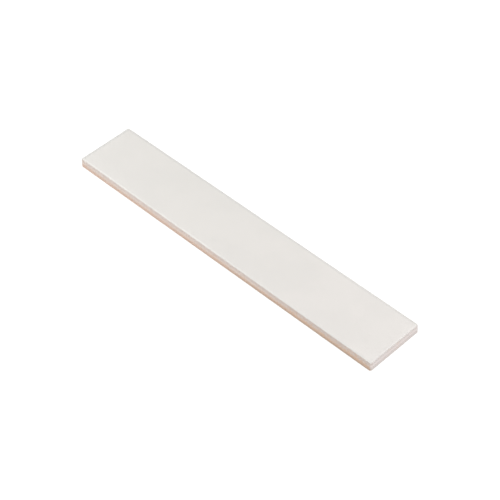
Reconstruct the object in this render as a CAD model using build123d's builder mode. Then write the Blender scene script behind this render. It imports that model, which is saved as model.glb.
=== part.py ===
from build123d import *
import os
from math import radians, tan

# Glazed ceramic field tile: one piece, pressed from clay dust, glazed on its face and fired.
# It lies on its back. X runs along the length, Y across the width and +Z out of the glazed face.
# The origin is the middle of the back, on the plane of its ribs.
# Sizes are in millimetres and angles in degrees.

# Overall size, over the widest line of the sides, just above the back
LENGTH = 300.0
WIDTH = 50.0
THICKNESS = 8.0

# Pressed outline: the sides lean in towards the face, so that the tile leaves its die
SIDE_DRAFT = 1.0
FACE_EDGE_RADIUS = 1.2
FACE_CORNER_RADIUS = 0.3
BACK_EDGE_CHAMFER = 0.4

# Keyed back: shallow cells between ribs, inside a plain rim, which the adhesive grips
RIM_WIDTH = 4.0
RIB_WIDTH = 2.4
CELL_PITCH = 11.0
CELL_DEPTH = 0.7
CELL_DRAFT = 30.0


def cells_across(field):
    """How many cells of about the pitch fill a keyed field of that size, with a rib between each two."""
    return max(1, round((field + RIB_WIDTH) / CELL_PITCH))


def cell_size(field):
    """The size that the cells then have, so that they fill the field from rim to rim."""
    return (field + RIB_WIDTH) / cells_across(field) - RIB_WIDTH


# The sides would run on to this outline on the back's plane, if its edge weren't broken
lean = tan(radians(SIDE_DRAFT))
back_length = LENGTH + 2 * lean * BACK_EDGE_CHAMFER
back_width = WIDTH + 2 * lean * BACK_EDGE_CHAMFER
back_corner_radius = FACE_CORNER_RADIUS + FACE_EDGE_RADIUS + lean * THICKNESS

keyed_length = LENGTH - 2 * RIM_WIDTH
keyed_width = WIDTH - 2 * RIM_WIDTH
cell_length = cell_size(keyed_length)
cell_width = cell_size(keyed_width)

# One cell of the keyed back, narrower at its floor
with BuildPart() as cell:
    with BuildSketch():
        Rectangle(cell_length, cell_width)
    extrude(amount=CELL_DEPTH, taper=CELL_DRAFT)

with BuildPart() as field_tile:
    # Pressed body, widest at the back
    with BuildSketch():
        RectangleRounded(back_length, back_width, back_corner_radius)
    extrude(amount=THICKNESS, taper=SIDE_DRAFT)

    # Glazed edge, rolled over all round the face
    face_edges = field_tile.faces().sort_by(Axis.Z)[-1].edges()
    fillet(face_edges, FACE_EDGE_RADIUS)

    # Broken edge all round the back
    back_edges = field_tile.faces().sort_by(Axis.Z)[0].edges()
    chamfer(back_edges, BACK_EDGE_CHAMFER)

    # Waffle of cells pressed into the back
    with GridLocations(
        cell_length + RIB_WIDTH,
        cell_width + RIB_WIDTH,
        cells_across(keyed_length),
        cells_across(keyed_width),
    ):
        add(cell.part, mode=Mode.SUBTRACT)

field_tile.part.label = "field_tile"

os.makedirs("parts", exist_ok=True)
export_step(field_tile.part, "parts/field_tile.step")

print("cells", cells_across(keyed_length), "x", cells_across(keyed_width))
print("cell size", round(cell_length, 2), "x", round(cell_width, 2))
print("volume in cubic millimetres", round(field_tile.part.volume))
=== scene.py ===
# %% [markdown]
# # A glazed wall tile, modelled from its back to its face
#
# The tile is one piece. Clay dust is pressed in a steel die, the face is glazed, and the whole is fired.
# So it becomes one skin here: the back and the sides are pulled out of one grid, and a second grid closes
# the face and is welded on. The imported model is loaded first, because it holds the real sizes.

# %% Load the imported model
from math import cos, radians, sin, tan

import bmesh
import bpy
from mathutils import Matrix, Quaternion, Vector


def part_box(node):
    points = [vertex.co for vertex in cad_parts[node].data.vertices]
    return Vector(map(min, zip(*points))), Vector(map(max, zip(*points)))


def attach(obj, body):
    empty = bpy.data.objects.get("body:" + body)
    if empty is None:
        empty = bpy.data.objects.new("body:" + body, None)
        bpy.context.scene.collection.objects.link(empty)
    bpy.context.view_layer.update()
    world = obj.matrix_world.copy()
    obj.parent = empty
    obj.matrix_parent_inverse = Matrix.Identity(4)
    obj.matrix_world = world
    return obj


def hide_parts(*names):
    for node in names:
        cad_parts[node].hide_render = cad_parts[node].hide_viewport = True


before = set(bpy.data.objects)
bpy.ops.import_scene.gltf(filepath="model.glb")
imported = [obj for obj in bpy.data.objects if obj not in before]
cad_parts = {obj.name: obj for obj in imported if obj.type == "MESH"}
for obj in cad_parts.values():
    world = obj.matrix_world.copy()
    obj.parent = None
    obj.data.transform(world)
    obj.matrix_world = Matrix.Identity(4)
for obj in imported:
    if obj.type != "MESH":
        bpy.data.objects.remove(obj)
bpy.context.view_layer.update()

MM = 0.001

tile_low, tile_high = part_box("field_tile")
length, width, thickness = tile_high - tile_low
print(f"tile of {length / MM:.1f} x {width / MM:.1f} x {thickness / MM:.1f} mm")

# %% [markdown]
# ## The camera
#
# A long lens looks down on the tile at about 45 degrees, over its front right corner. Such a view could be
# set by eye, but here the angles, the distance and the lens come from a fit to the tile's straight edges,
# so that the picture keeps the same slight perspective. The small roll tilts the picture as it was taken.

# %% Camera
VIEW_AZIMUTH = radians(46.24)
VIEW_ELEVATION = radians(45.76)
VIEW_ROLL = radians(-1.96)
VIEW_DISTANCE = 1159.0 * MM
VIEW_TARGET = Vector((14.4, -4.7, 8.0)) * MM
LENS_IN_MM = 114.9
SENSOR_IN_MM = 36.0

to_camera = Vector((
    sin(VIEW_AZIMUTH) * cos(VIEW_ELEVATION),
    -cos(VIEW_AZIMUTH) * cos(VIEW_ELEVATION),
    sin(VIEW_ELEVATION),
))
bpy.ops.object.camera_add(location=VIEW_TARGET + to_camera * VIEW_DISTANCE)
camera = bpy.context.object
camera.name = "camera"
camera.rotation_mode = "QUATERNION"
camera.rotation_quaternion = to_camera.to_track_quat("Z", "Y") @ Quaternion((0, 0, 1), VIEW_ROLL)
camera.data.sensor_width = SENSOR_IN_MM
camera.data.lens = LENS_IN_MM
bpy.context.scene.camera = camera
print("camera at", [round(c / MM) for c in camera.location], "mm")

# %% [markdown]
# ## Choosing faces and edges in code
#
# By hand one would click on an edge before bevelling it. A script chooses by place instead: pick leaves
# selected just those parts of the mesh that pass a test. The other helpers measure an edge or test it.

# %% Selection helpers
SELECT_MODES = {"verts": "VERT", "edges": "EDGE", "faces": "FACE"}
NEAR = 0.01 * MM
LEVEL_NORMAL = 0.999


def pick(kind, test):
    """Select, in edit mode, only the verts, edges or faces that pass the test, and count them."""
    bpy.ops.mesh.select_mode(type=SELECT_MODES[kind])
    bpy.ops.mesh.select_all(action="DESELECT")
    mesh = bmesh.from_edit_mesh(bpy.context.object.data)
    chosen = [part for part in getattr(mesh, kind) if test(part)]
    for part in chosen:
        part.select_set(True)
    bmesh.update_edit_mesh(bpy.context.object.data)
    return len(chosen)


def lies_at(edge, height):
    """True for an edge that lies level at that height."""
    return all(abs(vert.co.z - height) < NEAR for vert in edge.verts)


def rise(edge):
    """How much higher one end of an edge lies than the other."""
    return abs(edge.verts[0].co.z - edge.verts[1].co.z)


def is_level(edge):
    """True for an edge whose two ends are equally high."""
    return rise(edge) < NEAR


def joins_a_slope(edge):
    """True where one of the edge's faces lies level and the other doesn't."""
    level = [abs(face.normal.z) > LEVEL_NORMAL for face in edge.link_faces]
    return len(level) == 2 and level[0] != level[1]


# %% [markdown]
# ## The keyed back
#
# The die presses a waffle of shallow cells into the back, for the adhesive to grip. A grid has one face
# for each cell, so insetting every face by itself leaves the ribs standing between them, and a second
# inset with depth makes the sloping walls. Pressed clay has no sharp edge, so the cells' upright corners
# are rounded by a bevel, and a finer bevel then softens their mouths and floors.

# %% Waffle of cells
RIM = 4.0 * MM
RIB = 2.4 * MM
CELL_PITCH = 11.0 * MM
CELL_DEPTH = 0.7 * MM
CELL_DRAFT = radians(30)
CELL_CORNER = 0.9 * MM
CELL_SOFT_EDGE = 0.18 * MM
CELL_CORNER_SEGMENTS = 3
CELL_SOFT_EDGE_SEGMENTS = 2

keyed_length = length - 2 * RIM + RIB
keyed_width = width - 2 * RIM + RIB
cells_long = round(keyed_length / CELL_PITCH)
cells_wide = round(keyed_width / CELL_PITCH)

bpy.ops.object.select_all(action="DESELECT")
bpy.ops.mesh.primitive_grid_add(x_subdivisions=cells_long, y_subdivisions=cells_wide, size=1)
tile = bpy.context.object
tile.name = "glazed_tile"
bpy.ops.object.mode_set(mode="EDIT")
bpy.ops.mesh.select_all(action="SELECT")
bpy.ops.transform.resize(value=(keyed_length, keyed_width, 1), center_override=(0, 0, 0))
bpy.ops.mesh.inset(thickness=RIB / 2, use_individual=True)
bpy.ops.mesh.inset(thickness=CELL_DEPTH * tan(CELL_DRAFT), depth=CELL_DEPTH, use_individual=True)

corners = pick("edges", lambda edge: not is_level(edge))
bpy.ops.mesh.bevel(offset=CELL_CORNER, segments=CELL_CORNER_SEGMENTS, clamp_overlap=False)
soft_edges = pick("edges", joins_a_slope)
bpy.ops.mesh.bevel(offset=CELL_SOFT_EDGE, segments=CELL_SOFT_EDGE_SEGMENTS, clamp_overlap=False)
print(cells_long, "x", cells_wide, "cells,", corners, "corners and", soft_edges, "soft edges bevelled")

# %% [markdown]
# ## Rim, sides and face
#
# From the outermost rib the clay runs on to a plain rim, over a small broken edge and up the sides, which
# lean in by one degree so that the tile leaves its die. Each of these is the same loop, extruded and
# resized to the next outline. The top could be filled, but a fill may start at any corner and skew its
# faces. A second grid with the same divisions is surer, and merging its rim with the loop welds them.

# %% Pull the body out of the back
ARRIS = 0.4 * MM
SIDE_DRAFT = radians(1)

lean = tan(SIDE_DRAFT) * (thickness - ARRIS)
body_loops = [
    (length - 2 * ARRIS, width - 2 * ARRIS, 0.0),
    (length, width, ARRIS),
    (length - 2 * lean, width - 2 * lean, thickness),
]
pick("edges", lambda edge: edge.is_boundary)
loop_length, loop_width, loop_height = keyed_length, keyed_width, 0.0
for next_length, next_width, next_height in body_loops:
    bpy.ops.mesh.extrude_edges_indiv()
    growth = (next_length / loop_length, next_width / loop_width, 1)
    bpy.ops.transform.resize(value=growth, center_override=(0, 0, loop_height))
    bpy.ops.transform.translate(value=(0, 0, next_height - loop_height))
    loop_length, loop_width, loop_height = next_length, next_width, next_height

face_middle = (0, 0, thickness)
bpy.ops.mesh.primitive_grid_add(
    x_subdivisions=cells_long, y_subdivisions=cells_wide, size=1, location=face_middle
)
bpy.ops.transform.resize(value=(loop_length, loop_width, 1), center_override=face_middle)
bpy.ops.mesh.select_all(action="SELECT")
bpy.ops.mesh.remove_doubles(threshold=NEAR)
bpy.ops.mesh.normals_make_consistent(inside=False)
open_edges = pick("edges", lambda edge: edge.is_boundary)
print(len(body_loops), "loops pulled out,", open_edges, "open edges left")

# %% [markdown]
# ## Round corners and the rolled edge
#
# Seen from above the tile has small round corners, and all round its face the edge is rolled over, because
# glaze draws back from a sharp edge in the kiln. Both are bevels with several segments. The upright
# corners come first, so that the roll then runs round them in one loop.

# %% Bevel the corners and the face's edge
CORNER_RADIUS = 1.5 * MM
FACE_EDGE_RADIUS = 1.2 * MM
CORNER_SEGMENTS = 6
FACE_EDGE_SEGMENTS = 8


def is_upright_corner(edge):
    """True for the upright edges at the tile's four corners."""
    outside = all(
        abs(vert.co.x) > length / 2 - CORNER_RADIUS and abs(vert.co.y) > width / 2 - CORNER_RADIUS
        for vert in edge.verts
    )
    return outside and not is_level(edge)


upright = pick("edges", is_upright_corner)
bpy.ops.mesh.bevel(offset=CORNER_RADIUS, segments=CORNER_SEGMENTS, clamp_overlap=False)
rolled = pick("edges", lambda edge: lies_at(edge, thickness) and joins_a_slope(edge))
bpy.ops.mesh.bevel(offset=FACE_EDGE_RADIUS, segments=FACE_EDGE_SEGMENTS, clamp_overlap=False)
print(upright, "upright edges and", rolled, "edges round the face are bevelled")

# %% [markdown]
# ## Finer faces where the surface isn't quite true
#
# A pressed and fired surface is never dead flat. To let it wander a little, the face and the sides need
# more points than their outline does. Only edges longer than a few millimetres are divided, so that the
# round corners and the roll keep their own spacing. The back, whose cells are fine already, is left alone.

# %% Divide the long edges of the face and the sides
LONG_EDGE = 5.0 * MM
TALL_EDGE = 3.0 * MM
CUTS_IN_LONG_EDGE = 7
CUTS_IN_TALL_EDGE = 5


def is_on_the_outside(vert):
    """True for a point of the face, the sides or the back's outermost loop."""
    past_end = abs(vert.co.x) > length / 2 - ARRIS - NEAR
    past_side = abs(vert.co.y) > width / 2 - ARRIS - NEAR
    return vert.co.z > CELL_DEPTH + NEAR or past_end or past_side


def is_long_and_level(edge):
    """True for a level edge of the face or the sides that is long enough to divide."""
    return is_level(edge) and edge.calc_length() > LONG_EDGE and all(map(is_on_the_outside, edge.verts))


def is_tall(edge):
    """True for an edge that climbs most of a side."""
    return rise(edge) > TALL_EDGE


level_edges = pick("edges", is_long_and_level)
bpy.ops.mesh.subdivide(number_cuts=CUTS_IN_LONG_EDGE)
tall_edges = pick("edges", is_tall)
bpy.ops.mesh.subdivide(number_cuts=CUTS_IN_TALL_EDGE)
bpy.ops.object.mode_set(mode="OBJECT")
print(level_edges, "level and", tall_edges, "upright edges divided")

# %% [markdown]
# ## Surfaces that wander a little
#
# Glaze settles in slow waves while it melts, the pressed sides are a little uneven, and the broken edge of
# the back is ragged. A Displace modifier with a cloud texture moves the points of one vertex group each
# time. The moves are a tenth of a millimetre or so, just enough to bend a reflection, so the tile keeps
# its size. Afterwards the faces are shaded smooth, apart from edges that stay crisp.

# %% Let the face, the sides and the broken edge wander
SIDE_TOP = thickness - FACE_EDGE_RADIUS
CRISP_ANGLE = radians(35)


def wander(name, test, pattern_size, height, direction):
    """Move the points that pass the test in and out by that height, in a cloudy pattern of that size."""
    bpy.ops.object.mode_set(mode="EDIT")
    moved = pick("verts", test)
    group = tile.vertex_groups.new(name=name)
    tile.vertex_groups.active_index = group.index
    bpy.ops.object.vertex_group_assign()
    bpy.ops.object.mode_set(mode="OBJECT")
    pattern = bpy.data.textures.new(name, "CLOUDS")
    pattern.noise_scale = pattern_size
    modifier = tile.modifiers.new(name, "DISPLACE")
    modifier.texture = pattern
    modifier.texture_coords = "LOCAL"
    modifier.vertex_group = group.name
    modifier.direction = direction
    modifier.strength = height
    bpy.ops.object.modifier_apply(modifier=modifier.name)
    print(name, "moves", moved, "points")


def is_on_the_face(vert):
    """True for a point of the face or its rolled edge."""
    return vert.co.z > SIDE_TOP - NEAR


def is_on_a_side(vert):
    """True for a point of the upright sides, between the broken edge and the roll."""
    return ARRIS + NEAR < vert.co.z < SIDE_TOP - NEAR and is_on_the_outside(vert)


def is_on_the_broken_edge(vert):
    """True for a point where the broken edge meets a side."""
    return abs(vert.co.z - ARRIS) < NEAR and is_on_the_outside(vert)


wander("settled_glaze", is_on_the_face, pattern_size=40.0 * MM, height=0.10 * MM, direction="Z")
wander("pressed_sides", is_on_a_side, pattern_size=9.0 * MM, height=0.10 * MM, direction="NORMAL")
wander("ragged_edge", is_on_the_broken_edge, pattern_size=2.2 * MM, height=0.22 * MM, direction="NORMAL")
tile.vertex_groups.clear()
bpy.ops.object.shade_smooth_by_angle(angle=CRISP_ANGLE)

# %% [markdown]
# ## Building node trees in code
#
# A finish is a tree of nodes. In the Shader Editor each node is placed and wired by hand. In a script a
# node, its settings and its wires are easier to read on one line, so the helpers below add a node, set
# what they are given, and wire every input that is another node's socket. A Mix node has sockets for
# every kind of data under the same names, so those for colours are told by their numbers.

# %% Node helpers
MIX_SHARE = 0
MIX_FIRST_COLOUR = 6
MIX_SECOND_COLOUR = 7
MIX_RESULT_COLOUR = 2


def add(tree, kind, inputs=(), **settings):
    """Add a node with those settings. An input is a pair: a socket's name or number, and its value."""
    node = tree.nodes.new("ShaderNode" + kind)
    for name, value in settings.items():
        setattr(node, name, value)
    for socket, value in inputs:
        if isinstance(value, bpy.types.NodeSocket):
            tree.links.new(value, node.inputs[socket])
        else:
            node.inputs[socket].default_value = value
    return node


def reckon(tree, operation, first, second=0.0, third=0.0):
    """The result of one Math node."""
    return add(tree, "Math", [(0, first), (1, second), (2, third)], operation=operation).outputs[0]


def ease(tree, value, start, end, low=0.0, high=1.0):
    """A smooth change from low to high while the value goes from start to end."""
    inputs = [("Value", value), ("From Min", start), ("From Max", end), ("To Min", low), ("To Max", high)]
    return add(tree, "MapRange", inputs, interpolation_type="SMOOTHSTEP").outputs["Result"]


def blend(tree, share, first, second):
    """The first colour where the share is 0, and the second where it is 1."""
    inputs = [(MIX_SHARE, share), (MIX_FIRST_COLOUR, first), (MIX_SECOND_COLOUR, second)]
    return add(tree, "Mix", inputs, data_type="RGBA").outputs[MIX_RESULT_COLOUR]


def clouds(tree, place, waves_per_metre, detail=3.0):
    """A soft cloudy pattern of values about 0.5."""
    inputs = [("Vector", place), ("Scale", waves_per_metre), ("Detail", detail)]
    return add(tree, "TexNoise", inputs).outputs[0]


def new_material(name):
    """A material with its shader and its output alone."""
    material = bpy.data.materials.new(name)
    material.use_nodes = True
    tree = material.node_tree
    tree.nodes.clear()
    shader = add(tree, "BsdfPrincipled")
    add(tree, "OutputMaterial", [("Surface", shader.outputs["BSDF"])])
    return material, tree, shader


def own_place(tree):
    """The coordinates of the piece that a material is on."""
    return add(tree, "TexCoord").outputs["Object"]


# %% [markdown]
# ## Fired clay, shared by both finishes
#
# The fired clay shows on the back and, where the glaze thins out, on the sides. Both finishes need the
# same clay, so it is a node group. One end of the tile was fired a little harder, and the clay turns
# browner towards it, in cloudy patches. Dark grains are strewn through it, and its height has fine pores.

# %% Fired clay group
CLAY = (0.785, 0.565, 0.452, 1.0)
HARD_CLAY = (0.706, 0.467, 0.309, 1.0)
# the dark grains and the painted shade at the foot of the sides share this colour
GRAIN_AND_FOOT_SHADE_CLAY = (0.42, 0.33, 0.27, 1.0)
HARDENS_ALONG = (-0.3 * length, 0.5 * length)
HARDENS_BY = 0.8
PATCHES_PER_METRE = 90.0
PATCH_DETAIL = 5.0
PATCH_CONTRAST = 0.5
PATCH_SHIFT = -0.2
PORES_PER_METRE = 1400.0
GRAINS_PER_METRE = 700.0
GRAIN_RIM = (0.10, 0.28)
DARKEST_GRAIN = 0.3
GRAIN_HEIGHT = 0.5

fired_clay = bpy.data.node_groups.new("fired_clay", "ShaderNodeTree")
fired_clay.interface.new_socket("Place", in_out="INPUT", socket_type="NodeSocketVector")
place = fired_clay.nodes.new("NodeGroupInput").outputs["Place"]
x = add(fired_clay, "SeparateXYZ", [("Vector", place)]).outputs["X"]
along = ease(fired_clay, x, *HARDENS_ALONG)
patches = clouds(fired_clay, place, PATCHES_PER_METRE, PATCH_DETAIL)
patchy = reckon(fired_clay, "MULTIPLY_ADD", patches, PATCH_CONTRAST, PATCH_SHIFT)
fired = reckon(fired_clay, "MULTIPLY_ADD", along, HARDENS_BY, patchy)
dots = add(fired_clay, "TexVoronoi", [("Vector", place), ("Scale", GRAINS_PER_METRE)])
grains = ease(fired_clay, dots.outputs["Distance"], *GRAIN_RIM, 1.0, 0.0)
colour = blend(fired_clay, fired, CLAY, HARD_CLAY)
grain_share = reckon(fired_clay, "MULTIPLY", grains, DARKEST_GRAIN)
colour = blend(fired_clay, grain_share, colour, GRAIN_AND_FOOT_SHADE_CLAY)
pores = clouds(fired_clay, place, PORES_PER_METRE)
height = reckon(fired_clay, "MULTIPLY_ADD", grains, GRAIN_HEIGHT, pores)

group_end = fired_clay.nodes.new("NodeGroupOutput")
for name, value in (("Along", along), ("Fired", fired), ("Colour", colour), ("Height", height)):
    kind = "NodeSocketColor" if name == "Colour" else "NodeSocketFloat"
    fired_clay.interface.new_socket(name, in_out="OUTPUT", socket_type=kind)
    fired_clay.links.new(value, group_end.inputs[name])
print("fired clay group of", len(fired_clay.nodes), "nodes")

# %% [markdown]
# ## Measures for the glaze
#
# Where the glaze lies follows from a few measures that every point of the tile has: how deep it lies
# below the face, and how far it is from an end and from a long side. All of them come from the piece's
# own coordinates. Sprayed glaze never ends in a straight line, so three patterns shift its edges: a slow
# waver, upright runs, and the fine droplets of the spray.

# %% Measures and unsteady patterns
WAVERS_PER_METRE = 45.0
WAVER_REACH = 1.2 * MM
RUNS_PER_METRE = 500.0
RUN_REACH = 1.5 * MM
UPRIGHT_STRETCH = (1.0, 1.0, 0.12)
DROPLETS_PER_METRE = 1500.0
DROPLET_DETAIL = 2.0
DROPLET_REACH = 5.0 * MM


def unsteady(tree, pattern, reach):
    """A pattern about 0.5 made into a shift that stays within that reach, to either side."""
    return reckon(tree, "MULTIPLY_ADD", pattern, 2 * reach, -reach)


glazed, tree, shader = new_material("glazed_clay")
place = own_place(tree)
x, y, z = add(tree, "SeparateXYZ", [("Vector", place)]).outputs
depth = reckon(tree, "SUBTRACT", thickness, z)
from_end = reckon(tree, "SUBTRACT", length / 2, reckon(tree, "ABSOLUTE", x))
from_side = reckon(tree, "SUBTRACT", width / 2, reckon(tree, "ABSOLUTE", y))
clay = add(tree, "Group", [("Place", place)], node_tree=fired_clay).outputs
along = clay["Along"]

drawn_upright = add(tree, "Mapping", [("Vector", place), ("Scale", UPRIGHT_STRETCH)]).outputs[0]
waver = unsteady(tree, clouds(tree, place, WAVERS_PER_METRE), WAVER_REACH)
runs = unsteady(tree, clouds(tree, drawn_upright, RUNS_PER_METRE), RUN_REACH)
droplets = unsteady(tree, clouds(tree, place, DROPLETS_PER_METRE, DROPLET_DETAIL), DROPLET_REACH)
print(len(tree.nodes), "nodes measure the tile")

# %% [markdown]
# ## Where the glaze and the wash lie
#
# The glaze is thick on the face and thins over the rolled edge. Below, it runs down the sides as a wash
# that lets the pink clay through. The tile goes endways through the spray, so its two ends are washed to
# the bottom, while the long sides are bare clay below. The spray lies unevenly, so the clay shows through
# it in specks. Half way down the wash gathers in a paler bead, and a painted shade darkens the foot of the
# sides. Each of these is a mask from 0 to 1.

# %% Masks of the sides
GLAZE_THINS = (0.05 * MM, 0.64 * MM)
GLAZE_LOWER_ON_ENDS = 0.15 * MM
CORNER_FADE = 1.8 * MM
WASH_ON_SIDES_ENDS = 5.7 * MM
WASH_ON_ENDS_ENDS = 14.0 * MM
WASH_FADE = 4.0 * MM
WASH_THINS = (0.4 * MM, -2.4 * MM)
THIN_WASH = 0.5
BEAD_GROWS = (1.8 * MM, 3.4 * MM)
BEAD_FADES = (3.6 * MM, 5.0 * MM)
BEAD_DRIFTS_BY = 0.5
FOOT_SHADE_STARTS = (5.0 * MM, 6.4 * MM)
FOOT_SHADE_HIGHER_ON_ENDS = 1.0 * MM

round_corner = reckon(tree, "SUBTRACT", from_side, from_end)
on_end = ease(tree, reckon(tree, "ADD", round_corner, waver), -CORNER_FADE, CORNER_FADE)
glaze_depth = reckon(tree, "MULTIPLY_ADD", on_end, -GLAZE_LOWER_ON_ENDS, depth)
glaze_share = ease(tree, glaze_depth, *GLAZE_THINS, 1.0, 0.0)

wash_reach = ease(tree, on_end, 0.0, 1.0, WASH_ON_SIDES_ENDS, WASH_ON_ENDS_ENDS)
drift = reckon(tree, "ADD", waver, runs)
shift = reckon(tree, "ADD", drift, droplets)
wash_left = reckon(tree, "SUBTRACT", reckon(tree, "ADD", wash_reach, shift), depth)
wash_share = ease(tree, wash_left, 0.0, WASH_FADE)
wash_share = reckon(tree, "MULTIPLY", wash_share, ease(tree, shift, *WASH_THINS, 1.0, THIN_WASH))

bead_depth = reckon(tree, "MULTIPLY_ADD", drift, BEAD_DRIFTS_BY, depth)
bead_top = ease(tree, bead_depth, *BEAD_GROWS)
bead = reckon(tree, "MULTIPLY", bead_top, ease(tree, bead_depth, *BEAD_FADES, 1.0, 0.0))
# painted shade: the foot of the sides is darker towards the floor
foot_shade = ease(tree, reckon(tree, "MULTIPLY_ADD", on_end, FOOT_SHADE_HIGHER_ON_ENDS, bead_depth), *FOOT_SHADE_STARTS)
print(len(tree.nodes), "nodes with the masks of the sides")

# %% [markdown]
# ## Colours of the sides
#
# The wash takes on the tone of the clay below it, so it has a soft and a hard colour as the clay does, and
# the same mask mixes them. The ends have a colour of their own, for the wash and for the bead. The bead
# shows most where the clay is soft, and the painted shade at the foot is darkest at the other end.

# %% Colours of the sides
WASH_ON_CLAY = (0.790, 0.694, 0.635, 1.0)
WASH_ON_HARD_CLAY = (0.660, 0.571, 0.512, 1.0)
WASH_ON_ENDS = (0.682, 0.628, 0.613, 1.0)
WASH_BEAD = (0.90, 0.745, 0.648, 1.0)
WASH_BEAD_ON_ENDS = (0.87, 0.765, 0.725, 1.0)
BEAD_WEAKENS = (0.4, 1.0)
BEAD_SHARES = (0.54, 0.06)
BEAD_SHARE_ON_ENDS = 0.38
FOOT_SHADE_SHARES = (0.04, 0.56)
FOOT_SHADE_SHARE_ON_ENDS = 0.12

wash = blend(tree, clay["Fired"], WASH_ON_CLAY, WASH_ON_HARD_CLAY)
wash = blend(tree, on_end, wash, WASH_ON_ENDS)
side = blend(tree, wash_share, clay["Colour"], wash)

bead_share = ease(tree, along, *BEAD_WEAKENS, *BEAD_SHARES)
bead_share = ease(tree, on_end, 0.0, 1.0, bead_share, BEAD_SHARE_ON_ENDS)
bead_colour = blend(tree, on_end, WASH_BEAD, WASH_BEAD_ON_ENDS)
side = blend(tree, reckon(tree, "MULTIPLY", bead, bead_share), side, bead_colour)
# painted shade at the foot, darkest towards the harder end and lighter on the ends
foot_shade_share = ease(tree, x, -length / 2, length / 2, *FOOT_SHADE_SHARES)
foot_shade_share = ease(tree, on_end, 0.0, 1.0, foot_shade_share, FOOT_SHADE_SHARE_ON_ENDS)
side = blend(tree, reckon(tree, "MULTIPLY", foot_shade, foot_shade_share), side, GRAIN_AND_FOOT_SHADE_CLAY)
print(len(tree.nodes), "nodes with the colours of the sides")

# %% [markdown]
# ## Colour of the face
#
# The glaze is a warm white, with a faint blush where the clay was fired harder, and there painted light
# makes it a little brighter too. It is a little greyer where it is thin, in slow patches. A painted shade
# greys its rolled edge along the far and the left edge, and along the near edge towards the harder end.
# Further from the harder end, a whiter line on the near rolled edge is a painted highlight.

# %% Colour of the face
GLAZE = (0.774, 0.750, 0.713, 1.0)
GLAZE_BLUSH_AND_PAINTED_LIGHT = (0.802, 0.768, 0.736, 1.0)
PAINTED_HIGHLIGHT_GLAZE = (0.87, 0.845, 0.80, 1.0)
THIN_GLAZE_AND_EDGE_SHADE = (0.71, 0.695, 0.662, 1.0)
FAR_EDGE_SHADE_SPAN = (width / 2 - 3.2 * MM, width / 2 - 1.8 * MM)
NEAR_EDGE_SHADE_SPAN = (2.4 * MM - width / 2, 1.2 * MM - width / 2)
NEAR_EDGE_HIGHLIGHT_SPAN = (2.0 * MM - width / 2, 1.4 * MM - width / 2)
LEFT_EDGE_SHADE_SPAN = (4.0 * MM - length / 2, 1.8 * MM - length / 2)
FAR_SHADE_SHARES = (0.95, 0.6)
NEAR_SHADE_ALONG = (0.3, 1.0)
NEAR_SHADE_SHARES = (0.0, 0.6)
THIN_PATCHES_PER_METRE = 28.0
THIN_PATCH_RIM = (0.4, 0.65)
THIN_PATCH_SHARES = (0.0, 0.25)
HIGHLIGHT_FADES_ALONG = (0.0, 0.8)
HIGHLIGHT_SHARES = (0.32, 0.0)

# painted shade: the far, the left and the near right rolled edges are greyer
far_shade_share = ease(tree, along, 0.0, 1.0, *FAR_SHADE_SHARES)
painted_far_edge_shade = reckon(tree, "MULTIPLY", ease(tree, y, *FAR_EDGE_SHADE_SPAN), far_shade_share)
near_shade_share = ease(tree, along, *NEAR_SHADE_ALONG, *NEAR_SHADE_SHARES)
painted_near_edge_shade = reckon(tree, "MULTIPLY", ease(tree, y, *NEAR_EDGE_SHADE_SPAN), near_shade_share)
painted_left_edge_shade = ease(tree, x, *LEFT_EDGE_SHADE_SPAN)
patches = clouds(tree, place, THIN_PATCHES_PER_METRE)
thin_patch_and_edge_shade_share = ease(tree, patches, *THIN_PATCH_RIM, *THIN_PATCH_SHARES)
for painted_edge_shade in (painted_far_edge_shade, painted_near_edge_shade, painted_left_edge_shade):
    thin_patch_and_edge_shade_share = reckon(tree, "MAXIMUM", thin_patch_and_edge_shade_share, painted_edge_shade)

# painted light: beside its faint blush, the glaze is a little brighter towards the harder end
glaze = blend(tree, along, GLAZE, GLAZE_BLUSH_AND_PAINTED_LIGHT)
glaze = blend(tree, thin_patch_and_edge_shade_share, glaze, THIN_GLAZE_AND_EDGE_SHADE)
# painted highlight: a whiter line on the near rolled edge, fading towards the harder end
painted_highlight_share = ease(tree, along, *HIGHLIGHT_FADES_ALONG, *HIGHLIGHT_SHARES)
painted_highlight_share = reckon(tree, "MULTIPLY", ease(tree, y, *NEAR_EDGE_HIGHLIGHT_SPAN), painted_highlight_share)
glaze = blend(tree, painted_highlight_share, glaze, PAINTED_HIGHLIGHT_GLAZE)
tree.links.new(blend(tree, glaze_share, side, glaze), shader.inputs["Base Color"])
print(len(tree.nodes), "nodes with the colour of the face")

# %% [markdown]
# ## Gloss and feel of the glazed clay
#
# Full glaze is satin, a wash is duller, and bare clay is matt. The same masks set the roughness, and they
# let the clay's grain come through as a bump where the glaze is thin. The wash and its droplets lie on
# the clay, so they are higher. On the face a faint ripple is left, like the skin of an orange.

# %% Gloss and bump of the glazed clay
MATT_CLAY = 0.85
SATIN_GLAZE = 0.27
WASH_GLOSS = 0.35
GLAZE_SHINE = 0.8
BUMP_HEIGHT = 0.1 * MM
GLAZE_BUMP = 0.35
RIPPLES_PER_METRE = 260.0
RIPPLE_DETAIL = 2.0
RIPPLE_HEIGHT = 0.35
WASH_HEIGHT = 0.2

gloss = reckon(tree, "MAXIMUM", glaze_share, reckon(tree, "MULTIPLY", wash_share, WASH_GLOSS))
tree.links.new(ease(tree, gloss, 0.0, 1.0, MATT_CLAY, SATIN_GLAZE), shader.inputs["Roughness"])
shader.inputs["Specular IOR Level"].default_value = GLAZE_SHINE

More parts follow.
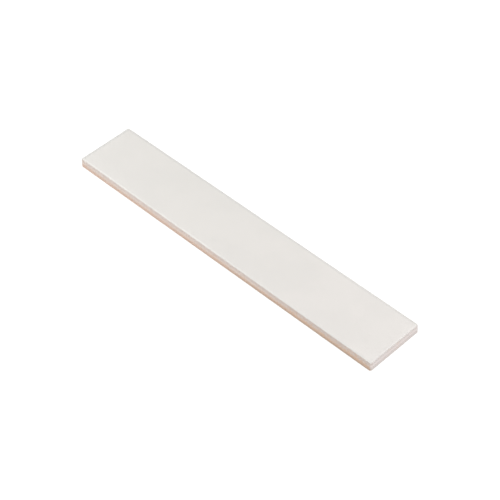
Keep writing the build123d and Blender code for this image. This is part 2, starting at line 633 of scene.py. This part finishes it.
ripples = clouds(tree, place, RIPPLES_PER_METRE, RIPPLE_DETAIL)
coating = reckon(tree, "MULTIPLY", ripples, RIPPLE_HEIGHT)
coating = reckon(tree, "MULTIPLY_ADD", wash_share, WASH_HEIGHT, coating)
bare_share = reckon(tree, "SUBTRACT", 1.0, gloss)
height = reckon(tree, "MULTIPLY_ADD", clay["Height"], bare_share, coating)
bump = add(tree, "Bump", [("Height", height), ("Strength", GLAZE_BUMP), ("Distance", BUMP_HEIGHT)])
tree.links.new(bump.outputs["Normal"], shader.inputs["Normal"])
print("glazed clay has", len(tree.nodes), "nodes")

# %% [markdown]
# ## Bare clay on the back
#
# The back is never glazed. Its ribs are paler than the cells, because they carry a rubbed trace of the
# white slip that keeps a tile from sticking in the kiln. The slip lies on the ribs' tops alone, so height
# makes its mask, and a cloudy pattern breaks it up.

# %% Bare clay
SLIP = (0.80, 0.68, 0.60, 1.0)
SLIP_WEARS_OFF = (0.02 * MM, 0.12 * MM)
CLAY_SHINE = 0.4
CLAY_BUMP = 0.4
SLIP_TRACES_PER_METRE = 130.0
SLIP_TRACE_DETAIL = 6.0
SLIP_TRACE_RIM = (0.38, 0.62)
SLIP_TRACE_SHARES = (0.0, 0.75)

bare, tree, shader = new_material("bare_clay")
place = own_place(tree)
z = add(tree, "SeparateXYZ", [("Vector", place)]).outputs["Z"]
clay = add(tree, "Group", [("Place", place)], node_tree=fired_clay).outputs
rib_top = ease(tree, z, *SLIP_WEARS_OFF, 1.0, 0.0)
traces = clouds(tree, place, SLIP_TRACES_PER_METRE, SLIP_TRACE_DETAIL)
slip_share = ease(tree, traces, *SLIP_TRACE_RIM, *SLIP_TRACE_SHARES)
slip_share = reckon(tree, "MULTIPLY", rib_top, slip_share)
tree.links.new(blend(tree, slip_share, clay["Colour"], SLIP), shader.inputs["Base Color"])
shader.inputs["Roughness"].default_value = MATT_CLAY
shader.inputs["Specular IOR Level"].default_value = CLAY_SHINE
bump_inputs = [("Height", clay["Height"]), ("Strength", CLAY_BUMP), ("Distance", BUMP_HEIGHT)]
bump = add(tree, "Bump", bump_inputs)
tree.links.new(bump.outputs["Normal"], shader.inputs["Normal"])
print("bare clay has", len(tree.nodes), "nodes")

# %% [markdown]
# ## Putting the finishes on
#
# Both finishes go on the one piece. By hand one selects the back's faces and presses Assign. Here the
# faces whose points all lie on the ribs, in the cells or on the rim are the back.

# %% Assign the finishes
BARE_SLOT = 1


def is_on_the_back(vert):
    """True for a point of the back, up to its broken edge."""
    past_end = abs(vert.co.x) > length / 2 - ARRIS + NEAR
    past_side = abs(vert.co.y) > width / 2 - ARRIS + NEAR
    return vert.co.z < CELL_DEPTH + NEAR and not past_end and not past_side


tile.data.materials.clear()
tile.data.materials.append(glazed)
tile.data.materials.append(bare)
bpy.ops.object.mode_set(mode="EDIT")
bare_faces = pick("faces", lambda face: all(map(is_on_the_back, face.verts)))
tile.active_material_index = BARE_SLOT
bpy.ops.object.material_slot_assign()
bpy.ops.object.mode_set(mode="OBJECT")
print(bare_faces, "of", len(tile.data.polygons), "faces are bare clay")

# %% [markdown]
# ## Floor
#
# The tile lies on a plain white floor. A floor that only reflects light goes grey next to the lit face, so
# this one also glows and stays as white as paper. Seen from below it is clear, so that the keyed back can
# be looked at without lifting the tile. Its glow would flatten the cells, which it touches, so the floor
# has a hole there, a little smaller than the tile. It is pulled out of the hole's edge as the tile was
# pulled out of its back.

# %% Floor
FLOOR_SIDE = 8.0
FLOOR_GAP = 0.1 * MM
HOLE_INSET = 1.0 * MM
FLOOR_WHITE = (0.12, 0.12, 0.12, 1.0)
FLOOR_GLOW = 0.98
WHITE = (1.0, 1.0, 1.0, 1.0)

hole_length = length - 2 * HOLE_INSET
hole_width = width - 2 * HOLE_INSET
bpy.ops.object.select_all(action="DESELECT")
bpy.ops.mesh.primitive_plane_add(size=1, location=(0, 0, -FLOOR_GAP))
floor = bpy.context.object
floor.name = "floor"
bpy.ops.object.mode_set(mode="EDIT")
bpy.ops.transform.resize(value=(hole_length, hole_width, 1), center_override=(0, 0, 0))
pick("edges", lambda edge: edge.is_boundary)
bpy.ops.mesh.extrude_edges_indiv()
growth = (FLOOR_SIDE / hole_length, FLOOR_SIDE / hole_width, 1)
bpy.ops.transform.resize(value=growth, center_override=(0, 0, 0))
pick("faces", lambda face: face.calc_center_median().length < NEAR)
bpy.ops.mesh.delete(type="FACE")
bpy.ops.object.mode_set(mode="OBJECT")
floor_white, tree, shader = new_material("floor_white")
shader.inputs["Base Color"].default_value = FLOOR_WHITE
shader.inputs["Roughness"].default_value = 1.0
shader.inputs["Specular IOR Level"].default_value = 0.0
shader.inputs["Emission Color"].default_value = WHITE
shader.inputs["Emission Strength"].default_value = FLOOR_GLOW
from_below = add(tree, "NewGeometry").outputs["Backfacing"]
clear = add(tree, "BsdfTransparent").outputs[0]
one_sided = add(tree, "MixShader", [(0, from_below), (1, shader.outputs[0]), (2, clear)])
tree.links.new(one_sided.outputs[0], tree.nodes["Material Output"].inputs["Surface"])
floor.data.materials.append(floor_white)
print("floor of", FLOOR_SIDE, "m, marked as stage")

# %% [markdown]
# ## Light
#
# A white tent lights the tile from all round, brightest overhead. Four softboxes give it form. The high
# one on the left draws part of the bright line on the near rolled edge, and a painted highlight in the
# glaze's colour draws the rest. The one behind draws that on the end's edge. The one on the right makes the
# face brighten towards that end, helped by painted light in the glaze's colour, and a low one lifts the near
# side. The first three are large, because the glaze would mirror a small one as a blot that hides the face.
# A fifth lights the back aslant through the hole in the floor, so that its cells show. A softbox in the
# picture would spoil it, so the camera doesn't see them, and it sees the tent as plain white from any
# side. The tile still mirrors both.

# %% Tent and softboxes
TENT_AT_FLOOR = 0.2
TENT_OVERHEAD = 0.572

tent = bpy.data.worlds.new("white_tent")
tent.use_nodes = True
tree = tent.node_tree
direction = add(tree, "TexCoord").outputs["Generated"]
up = add(tree, "SeparateXYZ", [("Vector", direction)]).outputs["Z"]
glow = add(tree, "MapRange", [("Value", up), ("To Min", TENT_AT_FLOOR), ("To Max", TENT_OVERHEAD)])
background = tree.nodes["Background"]
background.inputs["Color"].default_value = WHITE
seen = add(tree, "LightPath").outputs["Is Camera Ray"]
tree.links.new(reckon(tree, "MAXIMUM", glow.outputs["Result"], seen), background.inputs["Strength"])
bpy.context.scene.world = tent
bpy.context.scene.view_settings.view_transform = "Standard"


def softbox(name, place, side, power):
    """A square soft light of that side in metres and power in watts, turned to the tile from its place."""
    bpy.ops.object.light_add(type="AREA", location=place)
    light = bpy.context.object
    light.name = name
    light.data.size = side
    light.data.energy = power
    light.visible_camera = False
    light.rotation_mode = "QUATERNION"
    light.rotation_quaternion = Vector(place).to_track_quat("Z", "Y")
    print(name, "softbox of", power, "W")


softbox("high_left", place=(-1.02, 0.045, 1.38), side=1.3, power=11.2)
softbox("behind", place=(0.20, 0.72, 1.20), side=1.0, power=4.7)
softbox("right", place=(0.8, -0.1, 0.55), side=1.2, power=3.65)
softbox("low_left", place=(-0.40, -0.42, 0.14), side=0.25, power=0.22)
softbox("below", place=(-0.6, -0.7, -0.75), side=0.9, power=20.0)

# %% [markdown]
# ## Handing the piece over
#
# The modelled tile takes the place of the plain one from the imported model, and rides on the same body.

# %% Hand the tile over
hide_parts("field_tile")
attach(tile, "root")
